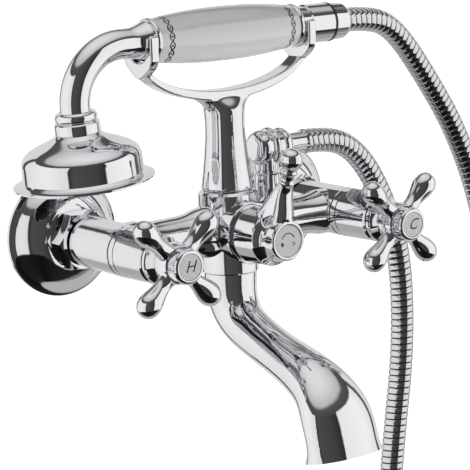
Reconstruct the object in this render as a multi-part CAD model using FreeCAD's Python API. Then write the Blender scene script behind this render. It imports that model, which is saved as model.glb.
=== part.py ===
"""Wall mounted two-handle bath mixer with a cradle-held hand shower, millimetres.

Frame: the wall is the plane y = 0 and the mixer stands out of it towards -Y, +Z is up and
+X is to the right of a person facing the wall. The origin is midway between the two wall
inlets. Every height below is measured from the valves' axis, and save() lifts the finished
pieces by union_offset, because the S-unions carry the mixer that far above the inlets.
A "depth" is a distance in front of the wall, so a depth of 55 lies at y = -55.
"""
import FreeCAD, Part
import math
import os

V = FreeCAD.Vector
RIGHT, FRONT, UP = V(1, 0, 0), V(0, -1, 0), V(0, 0, 1)
LEFT, DOWN = V(-1, 0, 0), V(0, 0, -1)

# ---- overall layout
inlet_spacing = 150.0       # between the two wall inlets, the usual bath pitch
union_offset = 8.0          # eccentricity of each S-union
centre_depth = 55.5         # plane of the cross tube, spout, column and hand shower
handset_height = 108.0      # axis of the hand shower lying in its cradle

# ---- clearances
touch = 0.02                # between fixed pieces that screw or press together
running = 0.05              # radial, round a turning spindle
free_gap = 0.3              # between pieces that move past each other
section_points = 16         # that an elliptical section's curve is drawn through

# ---- wall unions, escutcheons and union nuts
inlet_thread_radius = 10.48     # G 1/2 male
inlet_thread_length = 15.0
nut_thread_radius = 13.22       # G 3/4 male
union_bore = 7.5
union_web_radius = 17.0
union_web_depths = (3.0, 8.0)
union_front_depth = 20.0
escutcheon_radius = 34.4
escutcheon_height = 15.0
sheet_wall = 1.2
washer_thickness = 2.0
tail_collar_radius = nut_thread_radius - 0.42
tail_collar_width = 2.8
tail_radius = 10.2
union_nut_flats = 2 * nut_thread_radius + 3.56
union_nut_width = 12.8
union_nut_lip = 3.0

# ---- mixer body
valve_radius = 14.0
valve_depths = (31.0, 73.0)
water_bore = 4.5
shower_channel_bore = 3.0
shower_channel_height = 5.5
cross_radius = 11.2
cross_waist_flare = 14.4        # radius of the cross tube where it runs into the boss
boss_radius = 16.2
boss_bottom = -24.0
boss_top = 22.0
joint_chamfer = 0.9         # the dark line round each joint of boss, column and spout
diverter_seat_radius = 16.2
diverter_seat_depth = 76.0
diverter_bore = 9.2

# ---- ceramic valve cartridges
cartridge_radius = 9.2
cartridge_back_depth = 54.0
cartridge_neck_radius = 6.5
cartridge_front_depth = 96.0
cartridge_flats = 19.0
cartridge_hex_width = 5.0
disc_radius = 7.3
disc_thickness = 3.2
seat_seal_thickness = 2.4
spindle_radius = 4.0
sleeve_depths = (73.3, 98.0)
sleeve_radius = 13.9
sleeve_front_radius = 13.2
sleeve_wall = 1.4

# ---- cross handles
handle_hub_radius = 11.0
handle_hub_depths = (105.0, 117.0)
handle_skirt_radius = 12.6
handle_skirt_depth = 98.6
arm_plane_depth = 113.4
arm_reach = 26.9            # from the hub's axis to the middle of an arm's ball
arm_ball_radius = 6.4
arm_waist_radius = 4.3
cap_radius = 9.6
cap_height = 7.6
cap_knurls = 60
index_disc_radius = 7.1
index_disc_thickness = 1.6
screw_radius = 2.0
screw_head_radius = 3.6

# ---- diverter
bonnet_flange_radius = 17.2
bonnet_flange_width = 2.4
bonnet_groove_radius = 15.5
bonnet_groove_width = 1.6
gland_radius = 9.6          # boss on the bonnet that guides the stem inside the lever's skirt
gland_front_depth = 92.0
lever_skirt_radius = 16.0
lever_shoulder_depth = 97.0
lever_front_depth = 109.5
lever_front_radius = 11.0
lever_disc_radius = 8.8
lever_disc_recess = 1.6
lever_length = 44.6         # from the hub's axis to the middle of the ball
lever_ball_depth = 113.9
lever_ball_radius = 6.4
lever_neck_radius = 3.5
lever_lean = 20.0           # of the neck and ball, forwards from upright

# ---- grip, which sets the span of the cradle
grip_half_length = 46.5
grip_ring_width = 3.2

# ---- cradle
column_foot_radius = 14.6
column_waist_radius = 11.1
column_waist_height = 58.0
stud_radius = 5.0
stud_length = 20.0
yoke_thickness = 5.4
fork_half_span = grip_half_length + grip_ring_width + 0.6 + yoke_thickness / 2
yoke_half_width = 13.6
yoke_rise = 4.0             # of the horns above the hand shower's axis
yoke_depth_below = 20.0     # of the yoke's foot below the hand shower's axis
strap_width = 12.0
strap_thickness = 5.5       # over the column; it thins towards the yokes
strap_drop = 30.5           # of its top face over the column below the hand shower's axis
strap_rise = 15.0
strap_curve = ((0.45, 0.15), (0.70, 0.38), (0.88, 0.67), (1.0, 1.0))    # share out, share up

# ---- hand shower
grip_radius = 14.9
grip_end_radius = 11.6
core_radius = 6.4
core_bore = 5.0
grip_ring_radius = 12.2
neck_radius = 10.9
tube_radius = 8.1
tube_wall = 1.3
bend_start = fork_half_span + 13.0      # left of the column's axis
bend_radius = 29.6
bend_angle = 95.0           # the spray leans back under the grip by the last 5 degrees
collar_radius = 11.1
collar_height = 5.5
swivel_nut_radius = 12.1
swivel_nut_height = 6.0
bell_radius = 32.1
bell_rim_radius = 37.4
bell_height = 26.0
bell_wall = 1.5
bell_curve = ((0.05, 0.07), (0.12, 0.24), (0.20, 0.50), (0.29, 0.75), (0.40, 0.92), (0.53, 0.99))
brim_height = 3.6           # of the curl that carries the bell out to its rim
spray_plate_thickness = 2.4
nozzle_radius = 0.8
nozzle_rings = ((6, 7.0), (12, 13.0), (18, 19.0), (24, 25.0))
end_fitting_radius = 11.0
end_fitting_end = fork_half_span + 19.0
black_washer_width = 1.6
cone_nut_radius = 10.7
cone_nut_front_radius = 9.6
cone_nut_end = end_fitting_end + 13.0

# ---- spout
spigot_radius = 10.4
spigot_length = 11.0
spout_wall = 2.4
spout_stations = (
    # depth from the column's axis, height, lean of the section, half width, half thickness
    (0.0, -24.0, 0.0, 15.2, 15.2),
    (0.0, -33.0, 0.0, 14.6, 14.6),
    (2.8, -43.0, 26.0, 13.8, 13.6),
    (10.5, -51.8, 52.0, 13.3, 12.5),
    (24.0, -58.0, 68.0, 13.0, 11.8),
    (44.0, -64.3, 72.0, 13.4, 11.5),
    (63.0, -69.8, 69.0, 15.4, 12.2),
    (76.5, -75.5, 60.0, 17.6, 12.4),
    (87.0, -84.5, 32.0, 20.8, 12.4),
    (93.0, -96.5, 12.0, 22.2, 12.3),
    (95.0, -104.5, 11.0, 22.6, 12.8),
    (95.6, -109.5, 11.0, 24.0, 14.4),
)
insert_recess = 2.0
insert_thickness = 4.0
insert_clearance = 2.5      # round the insert at the mouth, where the bore is widest
insert_pitch = 4.2
insert_hole_radius = 1.5

# ---- shower outlet and hose
outlet_offset = 28.0        # right of the column's axis
outlet_height = 42.0
outlet_pad_height = 14.2    # top of the cast pad under the nipple
nipple_radius = 7.2
nipple_bore = 4.0
nipple_flange_radius = 8.2
nipple_top = 29.5
elbow_radius = 10.0
elbow_bore = 4.2
elbow_reach = 7.4           # from the nipple's axis to the swivel nut
swivel_ring_radius = 10.9
hose_ferrule_radius = 5.8
hose_radius = 7.0
hose_start = 54.0
hose_bore = 4.0
hose_route = (
    # from the outlet's ferrule to the hand shower's cone nut: right, depth, height
    (54.0, 55.5, 42.0), (74.0, 55.5, 42.0), (92.6, 55.8, 32.0), (108.0, 56.5, 10.0),
    (123.0, 58.0, -30.0), (122.5, 60.0, -88.0), (111.0, 61.5, -150.0), (100.5, 62.0, -236.0),
    (96.0, 61.0, -338.0), (99.0, 60.0, -437.0), (126.0, 59.0, -475.0), (170.0, 58.0, -479.0),
    (202.0, 57.5, -447.0), (208.0, 57.0, -357.0), (207.6, 56.5, -245.0), (205.0, 56.0, -142.0),
    (200.5, 55.7, -63.0), (190.5, 55.5, -10.0), (171.0, 55.5, 36.0), (145.5, 55.5, 73.5),
    (124.5, 55.5, 99.5), (106.5, 55.5, 108.0), (85.4, 55.5, 108.0),
)


# ---------------------------------------------------------------- making and keeping solids
def at(right, depth, height):
    """Point from its distance to the right, in front of the wall and above the valves."""
    return V(right, -depth, height)


def save(name, *solids):
    """Lift the pieces to their height above the inlets and write one STEP file."""
    shape = solids[0] if len(solids) == 1 else Part.makeCompound(list(solids))
    shape.translate(V(0, 0, union_offset))
    shape.exportStep("parts/" + name + ".step")


def rod(base, along, radius, length):
    return Part.makeCylinder(radius, length, base, along)


def tube(base, along, radius, bore, length):
    return rod(base, along, radius, length).cut(rod(base, along, bore, length))


def across(along):
    """A direction square to the axis, in which turned outlines are drawn."""
    helper = RIGHT if abs(along.x) < 0.5 else UP
    out = helper - along * helper.dot(along)
    return out.normalize()


def turned(base, along, outline):
    """Solid of revolution. The outline is (distance along the axis, radius) pairs; a list
    of pairs inside it is a smooth curve through them, starting from the point before."""
    out = across(along)

    def place(pair):
        return base + along * pair[0] + out * pair[1]

    edges = []
    here = outline[0]
    for item in outline[1:]:
        if isinstance(item, list):
            curve = Part.BSplineCurve()
            curve.interpolate([place(pair) for pair in [here] + item])
            edges.append(curve.toShape())
            here = item[-1]
        else:
            edges.append(Part.LineSegment(place(here), place(item)).toShape())
            here = item
    first = outline[0]
    foot, head = (here[0], 0.0), (first[0], 0.0)
    for start, end in ((here, foot), (foot, head), (head, first)):
        if place(start).distanceToPoint(place(end)) > 1e-6:
            edges.append(Part.LineSegment(place(start), place(end)).toShape())
    face = Part.Face(Part.Wire(edges))
    solid = face.revolve(base, along, 360)
    return solid if solid.Volume > 0 else solid.reversed()


def prism(points, direction):
    """Straight-sided solid from a flat closed outline."""
    wire = Part.makePolygon(points + [points[0]])
    return Part.Face(wire).extrude(direction)


def regular_points(centre, along, radius, count, turn=0.0):
    out = across(along)
    side = along.cross(out)
    angles = [math.radians(turn + 360.0 * k / count) for k in range(count)]
    return [centre + out * (radius * math.cos(a)) + side * (radius * math.sin(a)) for a in angles]


def hexagon(base, along, flats, width):
    """Hexagonal nut blank with its corners turned down at both ends."""
    corner = flats / 2 / math.cos(math.pi / 6)
    blank = prism(regular_points(base, along, corner, 6), along * width)
    bevel = 0.12 * flats / 2
    dome = turned(base, along, [(0, corner - bevel), (bevel, corner), (width - bevel, corner),
                                (width, corner - bevel)])
    return blank.common(dome)


def ellipse_wire(centre, wide, thick, half_width, half_thickness):
    """Closed elliptical section lying in the plane of its two directions."""
    points = []
    for k in range(section_points):
        angle = 2 * math.pi * k / section_points
        points.append(centre + wide * (half_width * math.cos(angle))
                      + thick * (half_thickness * math.sin(angle)))
    curve = Part.BSplineCurve()
    curve.interpolate(Points=points, PeriodicFlag=True)
    return Part.Wire(curve.toShape())


# ---------------------------------------------------------------- wall unions and their trim
def wall_union(x):
    """Eccentric S-union: G 1/2 stud in the wall, web, and G 3/4 thread for the nut."""
    web_back, web_front = union_web_depths
    low = at(x, -inlet_thread_length, -union_offset)
    stud = rod(low, FRONT, inlet_thread_radius, inlet_thread_length + web_front)
    web = rod(at(x, web_back, -union_offset / 2), FRONT, union_web_radius, web_front - web_back)
    thread = rod(at(x, web_back, 0), FRONT, nut_thread_radius, union_front_depth - web_back)
    meeting = (web_back + web_front) / 2
    back_bore = rod(low, FRONT, union_bore, inlet_thread_length + meeting + 1)
    front_bore = rod(at(x, meeting - 1, 0), FRONT, union_bore, union_front_depth - meeting + 1)
    return stud.fuse([web, thread]).cut(back_bore).cut(front_bore)


def escutcheon(x):
    """Spun dome with a rolled rim, hiding the eccentric web."""
    rim, height, wall = escutcheon_radius, escutcheon_height, sheet_wall
    hole = nut_thread_radius + touch
    shoulder = hole + 3.0

    def dome(inset):
        return turned(at(x, 0, 0), FRONT, [
            (0, rim - inset), (2.2 - inset, rim - inset),
            [(3.2 - inset, rim - 2.0 - inset), (0.45 * height, rim - 5.2 - inset),
             (0.85 * height, shoulder + 6.5 - inset), (height - inset, shoulder - inset / 2)],
            (height - inset, 0.5)])

    inside = turned(at(x, 0, 0), FRONT, [
        (0, rim - wall - 1.0), (1.0, rim - wall - 1.0),
        [(0.45 * height - wall, rim - 5.4 - wall), (0.85 * height - wall, shoulder + 5.8 - wall),
         (height - wall, shoulder - wall)],
        (height - wall, 0.5)])
    return dome(0).cut(inside).cut(rod(at(x, -1, 0), FRONT, hole, height + 2))


def union_nut(x):
    """Captive nut: threaded over the union, with a lip that draws in the body's tail."""
    back = escutcheon_height + 0.2
    blank = hexagon(at(x, back, 0), FRONT, union_nut_flats, union_nut_width)
    thread = rod(at(x, back, 0), FRONT, nut_thread_radius + touch, union_nut_width - union_nut_lip)
    passage = rod(at(x, back, 0), FRONT, tail_radius + 0.2, union_nut_width)
    return blank.cut(thread).cut(passage)


# ---------------------------------------------------------------- mixer body
def mixer_body():
    """One casting: two valve chambers, the cross tube, the centre boss and the diverter seat."""
    half = inlet_spacing / 2
    back, front = valve_depths
    collar_depth = union_front_depth + washer_thickness
    axis = at(0, centre_depth, 0)
    cross = turned(axis, RIGHT, [
        (-half, cross_radius + 1.6), (-half + 13, cross_radius + 1.6),
        [(-half + 20, cross_radius + 0.3), (-2.5 * boss_radius, cross_radius),
         (-1.75 * boss_radius, cross_radius + 0.8), (-1.25 * boss_radius, cross_waist_flare - 0.5),
         (-0.85 * boss_radius, cross_waist_flare)],
        (0.85 * boss_radius, cross_waist_flare),
        [(1.25 * boss_radius, cross_waist_flare - 0.5), (1.75 * boss_radius, cross_radius + 0.8),
         (2.5 * boss_radius, cross_radius), (half - 20, cross_radius + 0.3),
         (half - 13, cross_radius + 1.6)],
        (half, cross_radius + 1.6)])
    boss = turned(axis, UP, [
        (boss_bottom, boss_radius - joint_chamfer), (boss_bottom + joint_chamfer, boss_radius),
        (boss_bottom + 6, boss_radius),
        [(0, boss_radius + 0.5), (boss_top - 2 * joint_chamfer, boss_radius + 0.4)],
        (boss_top - joint_chamfer / 2, column_foot_radius + 0.4),
        (boss_top, column_foot_radius - joint_chamfer)])
    seat = rod(axis, FRONT, diverter_seat_radius, diverter_seat_depth - centre_depth)
    body = cross.fuse([boss, seat])
    for x in (-half, half):
        body = body.fuse([valve_chamber(x, back, front, collar_depth)])
    pad = rod(at(outlet_offset, centre_depth, 0), UP, nipple_flange_radius, outlet_pad_height)
    body = body.fuse([pad]).removeSplitter()
    return hollow_body(body, half, front, collar_depth, axis)


def valve_chamber(x, back, front, collar_depth):
    """Tail, collar and barrel of one valve, turned about its own axis."""
    collar_end = collar_depth + tail_collar_width
    return turned(at(x, 0, 0), FRONT, [
        (collar_depth, tail_collar_radius), (collar_end, tail_collar_radius),
        (collar_end, tail_radius), (back - 1.2, tail_radius),
        (back - 1.2, valve_radius - 1.5), (back + 0.6, valve_radius),
        (front - 4.6, valve_radius), (front - 4.0, valve_radius - 0.7),
        (front - 3.4, valve_radius), (front, valve_radius)])


def hollow_body(body, half, front, collar_depth, axis):
    """Cut the waterways, the cartridge and diverter bores and the sockets."""
    for x in (-half, half):
        body = body.cut(rod(at(x, collar_depth, 0), FRONT, union_bore - 1, front - collar_depth))
        body = body.cut(rod(at(x, cartridge_back_depth, 0), FRONT, cartridge_radius + touch,
                            front - cartridge_back_depth + 1))
    waterway_depth = cartridge_back_depth - water_bore - 1
    low = at(-half, waterway_depth, -water_bore)
    body = body.cut(rod(low, RIGHT, water_bore, 2 * half))
    chamber_back = centre_depth - 13
    body = body.cut(rod(at(0, chamber_back, 0), FRONT, diverter_bore,
                        diverter_seat_depth - chamber_back + 1))
    channel = at(0, centre_depth, shower_channel_height)
    body = body.cut(rod(channel, RIGHT, shower_channel_bore, outlet_offset))
    body = body.cut(rod(at(outlet_offset, centre_depth, shower_channel_height), UP,
                        shower_channel_bore, cross_radius))
    body = body.cut(rod(at(outlet_offset, centre_depth, cross_radius - 2), UP,
                        nipple_radius - 1.0 + touch, cross_radius))
    body = body.cut(rod(axis, DOWN, spigot_radius - 2.4, -boss_bottom + 1))
    body = body.cut(rod(axis + DOWN * (-boss_bottom - spigot_length - 0.4), DOWN,
                        spigot_radius + touch, spigot_length + 1))
    stud_hole = boss_top - stud_length / 2
    return body.cut(rod(axis + UP * stud_hole, UP, stud_radius + touch, stud_length))


# ---------------------------------------------------------------- ceramic valves
def cartridge_body(x):
    """Brass bush that holds the ceramic discs and guides the spindle."""
    front = valve_depths[1]
    shell = turned(at(x, 0, 0), FRONT, [
        (cartridge_back_depth, cartridge_radius), (front + touch, cartridge_radius),
        (front + touch, cartridge_neck_radius), (cartridge_front_depth, cartridge_neck_radius)])
    grip_hex = hexagon(at(x, front + touch, 0), FRONT, cartridge_flats, cartridge_hex_width)
    shell = shell.fuse(grip_hex)
    disc_room = seat_seal_thickness + 2 * disc_thickness + 3 * running + 2.0
    shell = shell.cut(rod(at(x, cartridge_back_depth, 0), FRONT, disc_radius + running, disc_room))
    window = Part.makeBox(2 * cartridge_radius + 2, 1.6, 4.0)
    window.translate(at(x - cartridge_radius - 1, front + touch - 3, -2.0))
    bore = rod(at(x, cartridge_back_depth, 0), FRONT, spindle_radius + running,
               cartridge_front_depth)
    return shell.cut(window).cut(bore)


def seat_seal(x):
    return tube(at(x, cartridge_back_depth, 0), FRONT, disc_radius, disc_radius - 1.8,
                seat_seal_thickness)


def ceramic_disc(x, depth, turn):
    """Lapped disc with two quadrant ports; the upper and lower discs differ by a quarter turn."""
    disc = rod(at(x, depth, 0), FRONT, disc_radius, disc_thickness)
    for side in (0.0, 180.0):
        port = rod(at(x, depth, disc_radius * 0.52), FRONT, disc_radius * 0.28, disc_thickness)
        port.rotate(at(x, depth, 0), FRONT, turn + side)
        disc = disc.cut(port)
    return disc


def fixed_disc_depth():
    return cartridge_back_depth + seat_seal_thickness


def moving_disc_depth():
    return fixed_disc_depth() + disc_thickness + running


def valve_spindle(x):
    """Spindle with a driving foot behind the neck and a broached end in the handle."""
    foot_start = moving_disc_depth() + disc_thickness
    tip = handle_hub_depths[1] - 2.0
    foot = rod(at(x, foot_start, 0), FRONT, disc_radius - 0.6, 1.6)
    shaft = rod(at(x, foot_start, 0), FRONT, spindle_radius, tip - foot_start)
    flat = Part.makeBox(4 * spindle_radius, 10.0, 1.2)
    flat.translate(at(x - 2 * spindle_radius, tip, spindle_radius - 0.6))
    tapped = rod(at(x, tip - 11, 0), FRONT, screw_radius, 12)
    return foot.fuse(shaft).cut(flat).cut(tapped)


def bonnet_sleeve(x):
    """Plain tapered shroud over the cartridge's neck."""
    back, front = sleeve_depths
    outer = turned(at(x, 0, 0), FRONT, [
        (back, sleeve_radius - 0.6), (back + 0.6, sleeve_radius),
        (front - 1.0, sleeve_front_radius), (front, sleeve_front_radius - 0.7)])
    bore = sleeve_front_radius - sleeve_wall
    return outer.cut(rod(at(x, back - 1, 0), FRONT, bore, front - back + 2))


# ---------------------------------------------------------------- cross handles
def handle_cross(x):
    """Forged cross: a hub with four club-shaped arms at 45 degrees."""
    back, front = handle_hub_depths
    hub = turned(at(x, 0, 0), FRONT, [
        (back, handle_hub_radius - 1.4),
        [(back + 3.0, handle_hub_radius - 0.2), (arm_plane_depth - 1.5, handle_hub_radius),
         (front, handle_hub_radius - 1.0)]])
    reach, ball, waist = arm_reach, arm_ball_radius, arm_waist_radius
    cross = hub
    for k in range(4):
        arm = turned(at(x, arm_plane_depth, 0), UP, [
            (0, waist + 1.2),
            [(handle_hub_radius * 0.75, waist + 0.9), (handle_hub_radius + 3.0, waist),
             (reach - ball, ball * 0.86), (reach, ball), (reach + ball * 0.62, ball * 0.78),
             (reach + ball, 0.4)]])
        arm.rotate(at(x, arm_plane_depth, 0), FRONT, 45.0 + 90.0 * k)
        cross = cross.fuse(arm)
    seat = rod(at(x, back - 1, 0), FRONT, spindle_radius + touch, front - back + 2)
    head_room = rod(at(x, front - 2.0, 0), FRONT, screw_head_radius + 0.4, 3)
    cap_room = rod(at(x, front, 0), FRONT, cap_radius + 2 * touch, cap_height)
    return cross.cut([seat, head_room, cap_room])


def handle_skirt(x):
    """Grooved bell between the fixed sleeve and the cross."""
    back, hub_back = handle_skirt_depth, handle_hub_depths[0]
    outer = turned(at(x, 0, 0), FRONT, [
        (back, handle_skirt_radius - 0.4), (back + 0.5, handle_skirt_radius),
        (back + 2.4, handle_skirt_radius), (back + 2.9, handle_skirt_radius - 1.2),
        (back + 3.4, handle_skirt_radius - 0.6),
        [(back + 4.8, handle_skirt_radius - 1.8), (hub_back, handle_hub_radius - 1.4)]])
    recess = rod(at(x, back, 0), FRONT, cartridge_neck_radius + 1.2, 3.0)
    bore = rod(at(x, back - 1, 0), FRONT, spindle_radius + touch, hub_back - back + 2)
    return outer.cut(recess).cut(bore)


def handle_screw(x):
    """Cheese-head screw through the hub into the spindle's end."""
    front = handle_hub_depths[1]
    head = rod(at(x, front - 2.0, 0), FRONT, screw_head_radius, 2.4)
    shank = rod(at(x, front - 11.5, 0), FRONT, screw_radius - touch, 10)
    slot = Part.makeBox(2 * screw_head_radius + 1, 1.2, 0.9)
    slot.translate(at(x - screw_head_radius - 0.5, front + 0.5, -0.45))
    return head.fuse(shank).cut(slot)


def handle_cap(x):
    """Serrated cap ring pressed over the screw."""
    base = handle_hub_depths[1] + touch
    points = []
    for k in range(cap_knurls):
        step = 360.0 / cap_knurls
        for share, radius in ((0.0, cap_radius), (0.5, cap_radius - 0.45)):
            angle = math.radians((k + share) * step)
            points.append(at(x + radius * math.cos(angle), base, radius * math.sin(angle)))
    knurled = prism(points, FRONT * (cap_height - 1.6))
    crown = turned(at(x, base, 0), FRONT, [
        (cap_height - 1.6, cap_radius - 0.45),
        [(cap_height - 0.6, cap_radius - 0.8), (cap_height, cap_radius - 1.9)]])
    ring = knurled.fuse(crown)
    ring = ring.cut(rod(at(x, base, 0), FRONT, screw_head_radius + 0.6, cap_height))
    return ring.cut(rod(at(x, base + cap_height - index_disc_thickness, 0), FRONT,
                        index_disc_radius + touch, index_disc_thickness))


def index_disc(x):
    base = handle_hub_depths[1] + touch + cap_height - index_disc_thickness
    return turned(at(x, base, 0), FRONT, [
        (0, index_disc_radius), (index_disc_thickness - 0.5, index_disc_radius),
        (index_disc_thickness - 0.2, index_disc_radius - 0.3)])


# ---------------------------------------------------------------- diverter
def diverter_bonnet():
    """Screwed-in bonnet: flange, groove and the gland that guides the stem."""
    seat = diverter_seat_depth + touch
    chamber_back = centre_depth + 4
    groove = seat + bonnet_flange_width
    outer = turned(at(0, 0, 0), FRONT, [
        (chamber_back, diverter_bore - touch), (seat, diverter_bore - touch),
        (seat, bonnet_flange_radius - 0.5), (seat + 0.5, bonnet_flange_radius),
        (groove - 0.5, bonnet_flange_radius), (groove, bonnet_flange_radius - 0.5),
        (groove, bonnet_groove_radius), (groove + bonnet_groove_width, bonnet_groove_radius),
        (groove + bonnet_groove_width, gland_radius), (gland_front_depth, gland_radius)])
    chamber = rod(at(0, chamber_back, 0), FRONT, diverter_bore - 2.2, seat - chamber_back)
    stem_bore = rod(at(0, centre_depth, 0), FRONT, spindle_radius + running,
                    gland_front_depth - centre_depth + 1)
    return outer.cut(chamber).cut(stem_bore)


def diverter_plug():
    """Rotating shuttle that opens the bath or the shower waterway, with its stem."""
    start = centre_depth + 6
    plug = rod(at(0, start, 0), FRONT, diverter_bore - 2.2 - free_gap,
               diverter_seat_depth - start - 1.0)
    stem = rod(at(0, start, 0), FRONT, spindle_radius, lever_front_depth - 6 - start)
    port = rod(at(0, start, 3.0), FRONT, 2.2, 10)
    tapped = rod(at(0, lever_front_depth - 16, 0), FRONT, screw_radius, 12)
    return plug.fuse(stem).cut(port).cut(tapped)


def lever_back():
    return (diverter_seat_depth + touch + bonnet_flange_width + bonnet_groove_width
            + free_gap)


def lever_horn():
    """Horn that tapers from the hub, upwards and forwards, to the neck below the ball."""
    knee = lever_shoulder_depth + 3.8
    skirt = lever_skirt_radius
    stations = (
        # height, depth, half width, half depth
        (0.50 * skirt, knee - 3.2, 0.58 * skirt, 0.70 * skirt),
        (1.02 * skirt, knee - 1.2, 0.51 * skirt, 0.68 * skirt),
        (0.49 * lever_length, knee + 2.0, 0.42 * skirt, 0.48 * skirt),
        (0.61 * lever_length, knee + 5.2, 0.35 * skirt, 0.33 * skirt),
        (0.71 * lever_length, lever_ball_depth - 4.9, lever_neck_radius + 0.7,
         lever_neck_radius + 0.4),
    )
    wires = [ellipse_wire(at(0, depth, height), RIGHT, FRONT, wide, deep)
             for height, depth, wide, deep in stations]
    return Part.makeLoft(wires, True, False)


def lever_knob():
    """Ball on a beaded neck, turned about the leaning end of the horn."""
    neck, ball = lever_neck_radius, lever_ball_radius
    lean = math.radians(lever_lean)
    middle = at(0, lever_ball_depth, lever_length)
    return turned(middle, V(0, -math.sin(lean), math.cos(lean)), [
        (-2.40 * ball, neck), (-2.20 * ball, neck + 0.8),
        [(-2.10 * ball, neck + 1.0), (-1.95 * ball, neck + 0.8)],
        (-1.85 * ball, neck), (-1.32 * ball, neck),
        [(-1.25 * ball, neck + 0.9), (-1.12 * ball, neck + 1.2), (-0.98 * ball, neck + 0.9)],
        (-0.88 * ball, neck + 0.2),
        [(-0.50 * ball, 0.86 * ball), (0, ball), (0.55 * ball, 0.80 * ball), (0.90 * ball, 0.3)]])


def diverter_lever():
    """Hollow hub with a waisted front, the horn and the ball, in one casting."""
    back, front = lever_back(), lever_front_depth
    skirt, rim = lever_skirt_radius, lever_front_radius
    hub = turned(at(0, 0, 0), FRONT, [
        (back, skirt - 0.6), (back + 0.8, skirt), (lever_shoulder_depth, skirt - 0.7),
        [(lever_shoulder_depth + 1.0, skirt - 1.8), (lever_shoulder_depth + 3.0, rim + 1.2),
         (lever_shoulder_depth + 6.0, rim)],
        (front - 0.7, rim), (front, rim - 0.7)])
    lever = hub.fuse([lever_horn(), lever_knob()])
    screw_seat = front - 5
    cuts = [
        rod(at(0, back - 1, 0), FRONT, gland_radius + free_gap,
            gland_front_depth + free_gap - back + 1),
        rod(at(0, back - 1, 0), FRONT, spindle_radius + touch, front - 6 - back + 1),
        rod(at(0, front - 8, 0), FRONT, screw_radius, 8),
        rod(at(0, screw_seat, 0), FRONT, screw_head_radius + 0.4, 5.5),
        rod(at(0, front - lever_disc_recess, 0), FRONT, lever_disc_radius + touch, 2),
    ]
    return lever.cut(cuts)


def lever_screw():
    head = rod(at(0, lever_front_depth - 5, 0), FRONT, screw_head_radius, 2.4)
    return head.fuse(rod(at(0, lever_front_depth - 14, 0), FRONT, screw_radius - touch, 9.5))


def lever_index_disc():
    """Thin disc that covers the lever's screw."""
    base = at(0, lever_front_depth - lever_disc_recess, 0)
    radius = lever_disc_radius
    return turned(base, FRONT, [(0, radius), (0.8, radius), (1.1, radius - 0.3)])


# ---------------------------------------------------------------- cradle
def strap_low_height():
    return handset_height - strap_drop


def strap():
    """Springy strap that carries the two yokes; it sags over the column and thins outwards."""
    y = centre_depth - strap_width / 2

    def curve(low, reach, rise):
        points = [at(-reach * out, y, low + rise * up) for out, up in reversed(strap_curve)]
        points.append(at(0, y, low))
        points += [at(reach * out, y, low + rise * up) for out, up in strap_curve]
        spline = Part.BSplineCurve()
        spline.interpolate(points)
        return spline

    low = strap_low_height()
    top = curve(low, fork_half_span - yoke_thickness / 4, strap_rise)
    bottom = curve(low - strap_thickness, fork_half_span + yoke_thickness / 4, strap_rise + 3.5)
    ends = [Part.LineSegment(top.StartPoint, bottom.StartPoint).toShape(),
            Part.LineSegment(top.EndPoint, bottom.EndPoint).toShape()]
    wire = Part.Wire(Part.__sortEdges__([top.toShape(), ends[1], bottom.toShape(), ends[0]]))
    return Part.Face(wire).extrude(FRONT * strap_width)


def yoke(side):
    """Upright plate at the strap's end with an open U slot for the hand shower's neck."""
    half = yoke_half_width
    foot = handset_height - yoke_depth_below
    top = handset_height + yoke_rise
    shoulder = handset_height - 7.0
    x = side * fork_half_span - yoke_thickness / 2

    def point(offset, height):
        return at(x, centre_depth + offset, height)

    spline = Part.BSplineCurve()
    spline.interpolate([point(-half, shoulder), point(-half * 0.86, shoulder - 6.0),
                        point(-strap_width / 2, foot + 2.6), point(0, foot),
                        point(strap_width / 2, foot + 2.6), point(half * 0.86, shoulder - 6.0),
                        point(half, shoulder)])
    slot = neck_radius + free_gap
    horn = half - slot
    outline = [spline.toShape()]
    edge = [point(half, shoulder), point(half, top - horn / 2), point(half - horn / 2, top),
            point(slot, top), point(slot, handset_height)]
    for start, end in zip(edge, edge[1:]):
        outline.append(Part.LineSegment(start, end).toShape())
    outline.append(Part.Arc(point(slot, handset_height), point(0, handset_height - slot),
                            point(-slot, handset_height)).toShape())
    edge = [point(-slot, handset_height), point(-slot, top), point(horn / 2 - half, top),
            point(-half, top - horn / 2), point(-half, shoulder)]
    for start, end in zip(edge, edge[1:]):
        outline.append(Part.LineSegment(start, end).toShape())
    return Part.Face(Part.Wire(outline)).extrude(RIGHT * yoke_thickness)


def cradle():
    """Tapered column that spreads into the fork of strap and yokes."""
    waist = column_waist_height
    axis = at(0, centre_depth, 0)
    top = strap_low_height() - strap_thickness
    foot = boss_top + touch
    column = turned(axis, UP, [
        (foot, column_foot_radius - joint_chamfer), (foot + joint_chamfer, column_foot_radius),
        [(foot + 10, column_foot_radius - 1.3), (foot + 24, column_waist_radius + 0.6),
         (waist, column_waist_radius), (waist + 8, column_waist_radius + 0.5)]])
    throat = [ellipse_wire(axis + UP * height, RIGHT, FRONT, wide, deep)
              for height, wide, deep in (
                  (waist + 7.8, column_waist_radius + 0.45, column_waist_radius + 0.45),
                  (top - 2.2, column_waist_radius + 2.8, column_waist_radius - 1.6),
                  (top + 1.2, column_waist_radius + 8.0, strap_width / 2 + 0.8),
                  (top + 3.2, column_waist_radius + 11.0, strap_width / 2 - 0.4))]
    fork = column.fuse([Part.makeLoft(throat, True, False), strap()])
    fork = fork.fuse([yoke(-1), yoke(1)])
    return fork.cut(rod(axis + UP * (foot - 1), UP, stud_radius + touch, stud_length / 2 + 2))


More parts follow.
